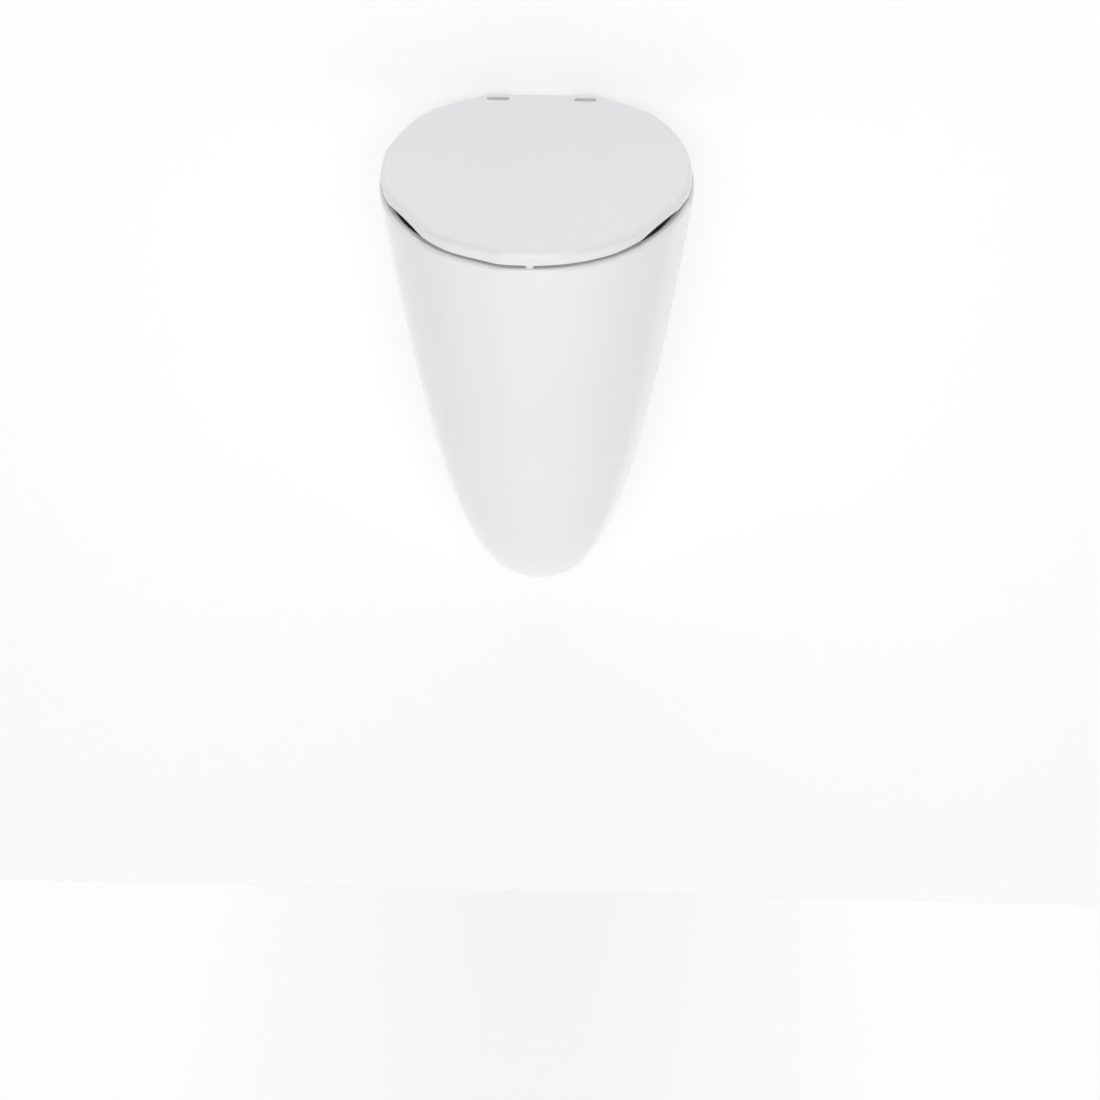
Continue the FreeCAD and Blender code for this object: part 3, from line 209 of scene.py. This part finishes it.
ALONG_Y = (1.0, 0.06, 1.0)
ALONG_X = (0.06, 1.0, 1.0)
ALONG_Z = (1.0, 1.0, 0.06)
finish = {
    "glazed_ceramic": glaze(),
    "lid_plastic": gloss_lid(),
    "buffer_rubber": rubber("buffer_rubber", (0.80, 0.80, 0.78), 0.45),
    "damper_steel": brushed("damper_steel", (0.62, 0.63, 0.64), 0.28, ALONG_X),
    "hinge_steel": brushed("hinge_steel", (0.50, 0.51, 0.52), 0.34, ALONG_Z),
    "bolt_steel": brushed("bolt_steel", (0.66, 0.67, 0.68), 0.30, ALONG_Y),
    "bolt_steel_upright": brushed("bolt_steel_upright", (0.66, 0.67, 0.68), 0.30, ALONG_Z),
    "strainer_steel": brushed("strainer_steel", (0.72, 0.72, 0.73), 0.16, (1.0, 1.0, 0.3), 220.0, 0.06),
    "pipe_chrome": chrome(),
    "nut_brass": brass(),
    "seal_rubber": rubber("seal_rubber", (0.045, 0.045, 0.05)),
    "fixing_plastic": moulded("fixing_plastic", (0.84, 0.84, 0.82), 0.42),
    "cap_plastic": moulded("cap_plastic", (0.88, 0.885, 0.89), 0.22, 900.0, 0.05),
    "waste_plastic": moulded("waste_plastic", (0.80, 0.81, 0.82), 0.34),
    "trap_plastic": moulded("trap_plastic", (0.83, 0.83, 0.81), 0.38),
    "outlet_plastic": moulded("outlet_plastic", (0.36, 0.37, 0.38), 0.40),
}
dress = {
    "glazed_ceramic": ["ceramic_body"],
    "lid_plastic": ["lid"],
    "buffer_rubber": ["front_buffer", "rear_buffers"],
    "damper_steel": ["hinge_damper_left", "hinge_damper_right"],
    "hinge_steel": ["hinge_post_left", "hinge_post_right"],
    "bolt_steel": ["wall_studs", "stud_washers", "stud_nuts"],
    "bolt_steel_upright": ["hinge_bolts", "hinge_washers", "hinge_nuts"],
    "strainer_steel": ["strainer"],
    "pipe_chrome": ["inlet_pipe", "spreader_body"],
    "nut_brass": ["spreader_nut"],
    "seal_rubber": ["hinge_gaskets", "inlet_seal", "spreader_gasket", "waste_gasket", "trap_seal",
                    "outlet_seal"],
    "fixing_plastic": ["stud_sleeves"],
    "cap_plastic": ["stud_caps"],
    "waste_plastic": ["waste_body", "waste_nut", "waste_washer"],
    "trap_plastic": ["trap_housing", "trap_dip_tube", "trap_union_nut"],
    "outlet_plastic": ["outlet_pipe", "outlet_nut"],
}
undressed = set(nodes)
for slot, names in dress.items():
    for name in names:
        piece = nodes[name]
        piece.data.materials.clear()
        piece.data.materials.append(finish[slot])
        undressed.discard(name)
print("nodes with no material of their own:", sorted(undressed))


# ---------------------------------------------------------------- wall, floor, light
FLOOR_Z = -0.889       # the wall meets the floor at this height
WALL_Y = 0.0006        # just behind the wall face, so the two never share a plane
WORLD_LIGHT = 0.03
WALL_GLOW = 0.48
WALL_TONE = 0.56
# the floor's steady glow is lower in the middle than aside: a painted shadow of the object on the floor
FLOOR_GLOW_UNDER_PAINTED_SHADOW = 0.72
FLOOR_GLOW_ASIDE = 0.785
FLOOR_TONE = 0.24
PAINTED_SHADOW_FROM = 0.06       # the steady part of a tone changes between these distances from the middle; on the floor the lower glow in the middle is a painted shadow of the object
PAINTED_SHADOW_TO = 0.42
STAGE_REACH = 6.0      # the wall's half width, and the floor's half width and depth
WALL_TOP = 5.0
# name, place, aim, width, height, watts
LAMPS = (
    ("lamp_top", (0.0, -0.9, 2.4), (0.0, -0.2, 0.0), 2.2, 1.6, 19.0),
    ("lamp_front", (0.0, -2.9, 0.9), (0.0, 0.0, -0.1), 2.4, 1.4, 39.5),
    ("lamp_low", (0.0, -2.4, -0.3), (0.0, 0.0, -0.1), 2.0, 0.9, 3.2),
    ("lamp_left", (-2.3, -1.2, 0.7), (0.0, -0.1, -0.1), 1.2, 2.0, 0.8),
    ("lamp_right", (2.3, -1.2, 0.7), (0.0, -0.1, -0.1), 1.2, 2.0, 1.8),
    ("lamp_behind", (0.0, 2.2, 1.0), (0.0, 0.0, -0.1), 2.4, 2.0, 14.0),
)


def one_sided(name, tone, glow, glow_aside):
    """A pale surface seen from its front only: part of its tone is steady, the rest takes shadow.
    The steady part goes from glow in the middle to glow_aside away from it; where glow is the lower one,
    the darker middle is a painted shadow."""
    mat = bpy.data.materials.new(name)
    mat.use_nodes = True
    tree = mat.node_tree
    tree.nodes.clear()
    out = tree.nodes.new("ShaderNodeOutputMaterial")
    diffuse = tree.nodes.new("ShaderNodeBsdfDiffuse")
    diffuse.inputs["Color"].default_value = (tone, tone, tone, 1.0)
    emit = tree.nodes.new("ShaderNodeEmission")
    emit.inputs["Color"].default_value = (1.0, 1.0, 1.0, 1.0)
    facing = tree.nodes.new("ShaderNodeNewGeometry")
    split = tree.nodes.new("ShaderNodeSeparateXYZ")
    tree.links.new(facing.outputs["Position"], split.inputs["Vector"])
    aside = tree.nodes.new("ShaderNodeMath")
    aside.operation = "ABSOLUTE"
    tree.links.new(split.outputs["X"], aside.inputs[0])
    # steady glow set by the distance from the middle; a lower glow in the middle paints a shadow there
    painted_shadow_ramp = tree.nodes.new("ShaderNodeMapRange")
    painted_shadow_ramp.inputs["From Min"].default_value = PAINTED_SHADOW_FROM
    painted_shadow_ramp.inputs["From Max"].default_value = PAINTED_SHADOW_TO
    painted_shadow_ramp.inputs["To Min"].default_value = glow
    painted_shadow_ramp.inputs["To Max"].default_value = glow_aside
    tree.links.new(aside.outputs[0], painted_shadow_ramp.inputs["Value"])
    tree.links.new(painted_shadow_ramp.outputs["Result"], emit.inputs["Strength"])
    both = tree.nodes.new("ShaderNodeAddShader")
    tree.links.new(diffuse.outputs[0], both.inputs[0])
    tree.links.new(emit.outputs[0], both.inputs[1])
    clear = tree.nodes.new("ShaderNodeBsdfTransparent")
    pick = tree.nodes.new("ShaderNodeMixShader")
    tree.links.new(facing.outputs["Backfacing"], pick.inputs["Fac"])
    tree.links.new(both.outputs[0], pick.inputs[1])
    tree.links.new(clear.outputs[0], pick.inputs[2])
    tree.links.new(pick.outputs[0], out.inputs["Surface"])
    return mat


def sheet_of(name, corners, mat):
    mesh = bpy.data.meshes.new(name)
    mesh.from_pydata(corners, [], [(0, 1, 2, 3)])
    mesh.materials.append(mat)
    made = bpy.data.objects.new(name, mesh)
    scene.collection.objects.link(made)


foot_left = (-STAGE_REACH, WALL_Y, FLOOR_Z)
foot_right = (STAGE_REACH, WALL_Y, FLOOR_Z)
sheet_of("wall", [foot_left, foot_right, (STAGE_REACH, WALL_Y, WALL_TOP), (-STAGE_REACH, WALL_Y, WALL_TOP)],
         one_sided("wall_paint", WALL_TONE, WALL_GLOW, WALL_GLOW))
near_left = (-STAGE_REACH, -STAGE_REACH, FLOOR_Z)
near_right = (STAGE_REACH, -STAGE_REACH, FLOOR_Z)
# floor: its darker middle is a painted shadow of the object
sheet_of("floor", [near_left, near_right, foot_right, foot_left],
         one_sided("floor_paint", FLOOR_TONE, FLOOR_GLOW_UNDER_PAINTED_SHADOW, FLOOR_GLOW_ASIDE))

world = bpy.data.worlds.new("world")
scene.world = world
world.use_nodes = True
tree = world.node_tree
tree.nodes.clear()
out = tree.nodes.new("ShaderNodeOutputWorld")
seen = tree.nodes.new("ShaderNodeBackground")
seen.inputs["Color"].default_value = (1.0, 1.0, 1.0, 1.0)
seen.inputs["Strength"].default_value = 1.0
lit = tree.nodes.new("ShaderNodeBackground")
lit.inputs["Color"].default_value = (0.97, 0.985, 1.0, 1.0)
lit.inputs["Strength"].default_value = WORLD_LIGHT
path = tree.nodes.new("ShaderNodeLightPath")
mix = tree.nodes.new("ShaderNodeMixShader")
tree.links.new(path.outputs["Is Camera Ray"], mix.inputs["Fac"])
tree.links.new(lit.outputs[0], mix.inputs[1])
tree.links.new(seen.outputs[0], mix.inputs[2])
tree.links.new(mix.outputs[0], out.inputs["Surface"])


def soft_lamp(name, at, towards, width, height, watts):
    data = bpy.data.lights.new(name, "AREA")
    data.shape = "RECTANGLE"
    data.size = width
    data.size_y = height
    data.energy = watts
    lamp = bpy.data.objects.new(name, data)
    scene.collection.objects.link(lamp)
    lamp.location = at
    lamp.rotation_euler = (Vector(towards) - Vector(at)).to_track_quat("-Z", "Y").to_euler()


for lamp in LAMPS:
    soft_lamp(*lamp)

scene.view_settings.view_transform = "Standard"
